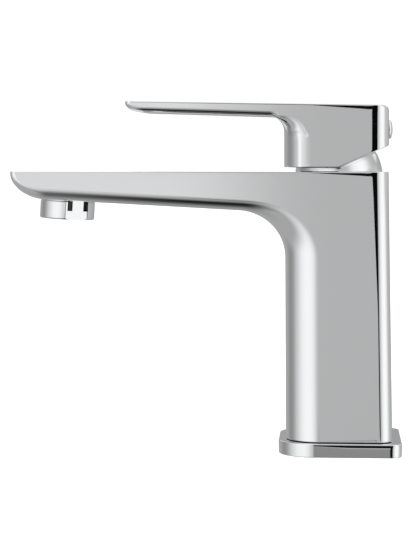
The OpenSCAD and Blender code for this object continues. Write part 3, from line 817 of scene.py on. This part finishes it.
class Nodes:
    """Short calls for building a node tree."""

    def __init__(self, tree):
        self.tree = tree
        tree.nodes.clear()

    def new(self, kind, **values):
        node = self.tree.nodes.new(kind)
        for key, value in values.items():
            setattr(node, key, value)
        return node

    def link(self, a, b):
        self.tree.links.new(a, b)

    def put(self, socket, value):
        if isinstance(value, bpy.types.NodeSocket):
            self.link(value, socket)
        else:
            socket.default_value = value

    def math(self, operation, a, b=0.0):
        node = self.new("ShaderNodeMath", operation=operation)
        self.put(node.inputs[0], a)
        self.put(node.inputs[1], b)
        return node.outputs[0]

    def steps(self, value, low, high, to_low=0.0, to_high=1.0):
        node = self.new("ShaderNodeMapRange", interpolation_type="SMOOTHSTEP")
        self.put(node.inputs["Value"], value)
        for key, number in (("From Min", low), ("From Max", high), ("To Min", to_low), ("To Max", to_high)):
            node.inputs[key].default_value = number
        return node.outputs[0]


def surface(name, colour, metallic, rough, colour_shift=0.06, rough_shift=0.3, grain=400.0, bump=0.05,
            depth=0.00002, specular=0.5):
    """A material with its own grain: noise moves its colour, its roughness and its surface."""
    made = bpy.data.materials.new(name)
    made.use_nodes = True
    n = Nodes(made.node_tree)
    out = n.new("ShaderNodeOutputMaterial")
    shader = n.new("ShaderNodeBsdfPrincipled")
    n.link(shader.outputs[0], out.inputs[0])
    where = n.new("ShaderNodeTexCoord").outputs["Object"]
    broad = n.new("ShaderNodeTexNoise")
    broad.inputs["Scale"].default_value = grain / 8
    broad.inputs["Detail"].default_value = 3.0
    n.link(where, broad.inputs["Vector"])
    fine = n.new("ShaderNodeTexNoise")
    fine.inputs["Scale"].default_value = grain
    fine.inputs["Detail"].default_value = 4.0
    n.link(where, fine.inputs["Vector"])
    ramp = n.new("ShaderNodeMix", data_type="RGBA")
    n.link(broad.outputs["Fac"], ramp.inputs["Factor"])
    ramp.inputs["A"].default_value = tuple(c * (1 - colour_shift) for c in colour) + (1,)
    ramp.inputs["B"].default_value = tuple(min(1, c * (1 + colour_shift)) for c in colour) + (1,)
    n.link(ramp.outputs["Result"], shader.inputs["Base Color"])
    gloss = n.steps(broad.outputs["Fac"], 0.25, 0.75, rough * (1 - rough_shift), rough * (1 + rough_shift))
    n.link(gloss, shader.inputs["Roughness"])
    relief = n.new("ShaderNodeBump")
    relief.inputs["Strength"].default_value = bump
    relief.inputs["Distance"].default_value = depth
    n.link(fine.outputs["Fac"], relief.inputs["Height"])
    n.link(relief.outputs["Normal"], shader.inputs["Normal"])
    shader.inputs["Metallic"].default_value = metallic
    shader.inputs["Specular IOR Level"].default_value = specular
    return made


CHROME = (0.87, 0.875, 0.885)


def chrome(name, rough, grain):
    return surface(name, CHROME, 1.0, rough, 0.01, 0.35, grain, 0.02, 0.000004)


def plastic(name, colour, rough, colour_shift):
    return surface(name, colour, 0.0, rough, colour_shift, 0.2, 2200, 0.12, 0.00002)


MATERIALS = {
    "chrome_body": chrome("chrome_body", 0.035, 260),
    "chrome_plate": chrome("chrome_plate", 0.04, 260),
    "chrome_handle": chrome("chrome_handle", 0.035, 260),
    "chrome_cap": chrome("chrome_cap", 0.045, 300),
    "chrome_aerator": surface("chrome_aerator", CHROME, 1.0, 0.06, 0.015, 0.35, 400, 0.03, 0.000005),
    "rubber": surface("rubber", (0.022, 0.022, 0.024), 0.0, 0.72, 0.25, 0.15, 2500, 0.25, 0.00003, 0.3),
    "brass": surface("brass", (0.74, 0.55, 0.27), 1.0, 0.24, 0.08, 0.3, 1500, 0.15, 0.00002),
    "steel": surface("steel", (0.62, 0.62, 0.62), 1.0, 0.22, 0.05, 0.3, 1800, 0.12, 0.00002),
    "ceramic": surface("ceramic", (0.88, 0.87, 0.84), 0.0, 0.14, 0.02, 0.2, 1200, 0.03, 0.00001, 0.6),
    "cartridge_plastic": plastic("cartridge_plastic", (0.82, 0.81, 0.75), 0.42, 0.03),
    "carrier_plastic": plastic("carrier_plastic", (0.72, 0.67, 0.52), 0.4, 0.04),
    "blue_plastic": plastic("blue_plastic", (0.05, 0.14, 0.5), 0.38, 0.08),
    "red_plastic": plastic("red_plastic", (0.55, 0.03, 0.025), 0.38, 0.08),
    "green_plastic": plastic("green_plastic", (0.05, 0.36, 0.16), 0.4, 0.08),
    "grey_plastic": plastic("grey_plastic", (0.06, 0.06, 0.065), 0.42, 0.03),
}


def dress(piece, slot):
    piece.data.materials.clear()
    piece.data.materials.append(MATERIALS[slot])


# ---------------------------------------------------------------- pieces

PIECES = (
    (make_body, "mixer", "faucet_body", "chrome_body"),
    (make_plate, "mixer", "base_plate", "chrome_plate"),
    (make_dome, "mixer", "dome_cap", "chrome_cap"),
    (make_collar, "mixer", "aerator_housing", "chrome_aerator"),
    (make_handle, "lever", "handle", "chrome_handle"),
    (make_button, "lever", "screw_cap", "chrome_cap"),
)
for make, body, node, slot in PIECES:
    piece = make()
    polish(piece)
    dress(piece, slot)
    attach(piece, body)
    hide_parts(node)

for part in frame["record"]["subparts"]:
    thing = frame["nodes"][part["node"]]
    for holder in thing.material_slots:
        holder.material = MATERIALS[part["material_slot"]]

# ---------------------------------------------------------------- studio


TO_DEGREES = 180 / math.pi
CURVE_TOP = 1.2                         # level that the top of the curve stands for
BACKGROUND = 1.05                       # what the camera sees behind the object
FULL_TURN = 400                         # past any compass angle or height, so a card has no edge there


def eye_level(n, around):
    """Level at eye height by compass angle: 0 is in front of the side that faces the camera."""
    curve = n.new("ShaderNodeFloatCurve")
    points = ((-180, 0.38), (-145, 0.42), (-113, 0.3), (-102, 0.35), (-83, 0.63), (-66, 0.86), (-50, 1.02),
              (-38, 1.05), (-22, 0.95), (-9, 0.69), (-2, 0.53), (2, 0.5), (20, 0.55), (60, 0.9), (95, 0.62),
              (130, 0.46), (180, 0.36))
    line = curve.mapping.curves[0]
    while len(line.points) > 2:
        line.points.remove(line.points[-1])
    for k, (angle, level) in enumerate(points):
        at = ((angle + 180) / 360, level / CURVE_TOP)
        if k == 0 or k == len(points) - 1:
            line.points[0 if k == 0 else -1].location = at
        else:
            line.points.new(*at)
    for point in line.points:
        point.handle_type = "AUTO_CLAMPED"
    curve.mapping.update()
    n.link(n.math("MULTIPLY", n.math("ADD", around, 180.0), 1 / 360), curve.inputs["Value"])
    return n.math("MULTIPLY", curve.outputs[0], CURVE_TOP)


def with_floor_strip(n, level, x, y, z):
    """Adds a dark strip on the floor under the object, running away from the camera."""
    below = n.math("MULTIPLY", n.math("ARCTAN2", z, x), TO_DEGREES)
    strip = n.math("MULTIPLY", n.steps(y, -0.34, -0.11), n.steps(y, 0.16, 0.28, 1, 0))
    strip = n.math("MULTIPLY", strip, n.steps(below, -50, -6, 1, 0))
    dark = n.steps(below, -125, -58, 0.34, 0.015)
    mix = n.new("ShaderNodeMix", data_type="FLOAT")
    n.link(strip, mix.inputs["Factor"])
    n.link(level, mix.inputs["A"])
    n.link(dark, mix.inputs["B"])
    return mix.outputs["Result"]


def studio_world():
    """A soft studio: cards of light, grey and black round the object, by compass angle and height."""
    world = bpy.data.worlds.new("studio")
    bpy.context.scene.world = world
    world.use_nodes = True
    n = Nodes(world.node_tree)
    out = n.new("ShaderNodeOutputWorld")
    split = n.new("ShaderNodeSeparateXYZ")
    n.link(n.new("ShaderNodeTexCoord").outputs["Generated"], split.inputs[0])
    x, y, z = split.outputs
    around = n.math("MULTIPLY", n.math("ARCTAN2", y, x), TO_DEGREES)
    height = n.math("MULTIPLY", n.math("ARCSINE", z), TO_DEGREES)

    behind = n.math("ABSOLUTE", around)

    def card(level, value, a0, a1, h0, h1, soft_a, soft_h, around=around):
        """A card of one value from compass angle a0 to a1 and height h0 to h1, with soft edges."""
        masks = [n.steps(around, a0 - soft_a[0], a0 + soft_a[0]),
                 n.steps(around, a1 - soft_a[1], a1 + soft_a[1], 1, 0),
                 n.steps(height, h0 - soft_h[0], h0 + soft_h[0]),
                 n.steps(height, h1 - soft_h[1], h1 + soft_h[1], 1, 0)]
        mask = masks[0]
        for other in masks[1:]:
            mask = n.math("MULTIPLY", mask, other)
        mix = n.new("ShaderNodeMix", data_type="FLOAT")
        n.link(mask, mix.inputs["Factor"])
        n.put(mix.inputs["A"], level)
        n.put(mix.inputs["B"], value)
        return mix.outputs["Result"]

    level = eye_level(n, around)
    edge = FULL_TURN
    # low white wall, in two parts
    level = card(level, 0.78, -14, -2.8, -2.6, -0.65, (4, 2.4), (0.6, 0.15))
    level = card(level, 0.82, -14, -2.8, 0.95, 2.5, (4, 2.4), (0.15, 0.6))
    # grey floor at the side
    level = card(level, 0.42, -175, -14, -edge, -22, (10, 6), (1, 14))
    # backdrop, and the wall behind
    level = card(level, 1.15, 168, edge, 0.55, 3, (2, 1), (0.15, 1), behind)
    level = card(level, 0.85, 128, edge, 15, 75, (6, 1), (3, 10), behind)
    # overhead light, and the floor under the object
    level = card(level, 1.0, -edge, edge, 60, edge, (1, 1), (12, 4))
    level = card(level, 0.36, -edge, edge, -edge, -62, (1, 1), (4, 14))
    # right softbox and its right edge
    level = card(level, 1.1, 40, 84, -30, 66, (24, 22), (12, 12))
    level = card(level, 0.6, 86, 125, -0.6, 12, (13, 15), (0.5, 5))
    # edge of the table
    level = card(level, 0.29, -5, 12, -24, -9.8, (1.5, 3), (3, 0.5))
    # black flag, and the one above it
    level = card(level, 0.003, 2.6, 18, -18, 8, (0.3, 2), (6, 1.5))
    level = card(level, 0.003, -4, 19, 2.2, 8.5, (2.5, 2), (0.6, 1.5))
    level = with_floor_strip(n, level, x, y, z)
    seen = n.new("ShaderNodeLightPath")
    shown = n.new("ShaderNodeMix", data_type="FLOAT")
    n.link(seen.outputs["Is Camera Ray"], shown.inputs["Factor"])
    n.link(level, shown.inputs["A"])
    shown.inputs["B"].default_value = BACKGROUND
    glow = n.new("ShaderNodeBackground")
    glow.inputs["Color"].default_value = (1, 1, 1, 1)
    n.link(shown.outputs["Result"], glow.inputs["Strength"])
    n.link(glow.outputs[0], out.inputs[0])


def floor():
    build = Build()
    side, count = 6000.0, 12
    marks = [lerp(-side, side, i / count) for i in range(count + 1)]
    rows = [[build.add(x, y, 0) for x in marks] for y in marks]
    for a, b in zip(rows, rows[1:]):
        build.strip(a, b)
    made = build.object("studio_floor")
    paint = bpy.data.materials.new("pale_floor")
    paint.use_nodes = True
    n = Nodes(paint.node_tree)
    out = n.new("ShaderNodeOutputMaterial")
    both = n.new("ShaderNodeAddShader")
    matt = n.new("ShaderNodeBsdfDiffuse")
    matt.inputs["Color"].default_value = (0.6, 0.6, 0.6, 1)
    glow = n.new("ShaderNodeEmission")
    glow.inputs["Strength"].default_value = 0.72
    n.link(matt.outputs[0], both.inputs[0])
    n.link(glow.outputs[0], both.inputs[1])
    n.link(both.outputs[0], out.inputs[0])
    made.data.materials.append(paint)
    made.visible_glossy = False
    made.visible_diffuse = False


def lamp(name, place, size, power):
    light = bpy.data.lights.new(name, "AREA")
    light.shape = "SQUARE"
    light.size = size
    light.energy = power
    made = bpy.data.objects.new(name, light)
    made.location = place
    made.rotation_euler = (Vector((0, 0, 0.08)) - Vector(place)).to_track_quat("-Z", "Y").to_euler()
    made.visible_glossy = False
    made.visible_camera = False
    bpy.context.scene.collection.objects.link(made)


studio_world()
floor()
lamp("soft_overhead", (0.3, -0.2, 1.6), 1.6, 14.0)

# ---------------------------------------------------------------- camera

SENSOR = 36.0
LENS = 129.6
SHIFT_X, SHIFT_Y = -0.0009, -0.1191
YAW, PITCH = math.radians(3.67), math.radians(1.87)
DISTANCE = 0.9
AIM_Y = -0.06
EYE_Z = 0.1381

camera_data = bpy.data.cameras.new("camera")
camera_data.sensor_width = SENSOR
camera_data.lens = LENS
camera_data.shift_x = SHIFT_X
camera_data.shift_y = SHIFT_Y
camera_data.clip_start = 0.01
camera_data.clip_end = 50
camera = bpy.data.objects.new("camera", camera_data)
camera.location = (DISTANCE * math.cos(YAW), AIM_Y + DISTANCE * math.sin(YAW), EYE_Z)
aim = Vector((-math.cos(YAW) * math.cos(PITCH), -math.sin(YAW) * math.cos(PITCH), -math.sin(PITCH)))
camera.rotation_euler = aim.to_track_quat("-Z", "Y").to_euler()
bpy.context.scene.collection.objects.link(camera)
bpy.context.scene.camera = camera
bpy.context.scene.view_settings.view_transform = "Standard"
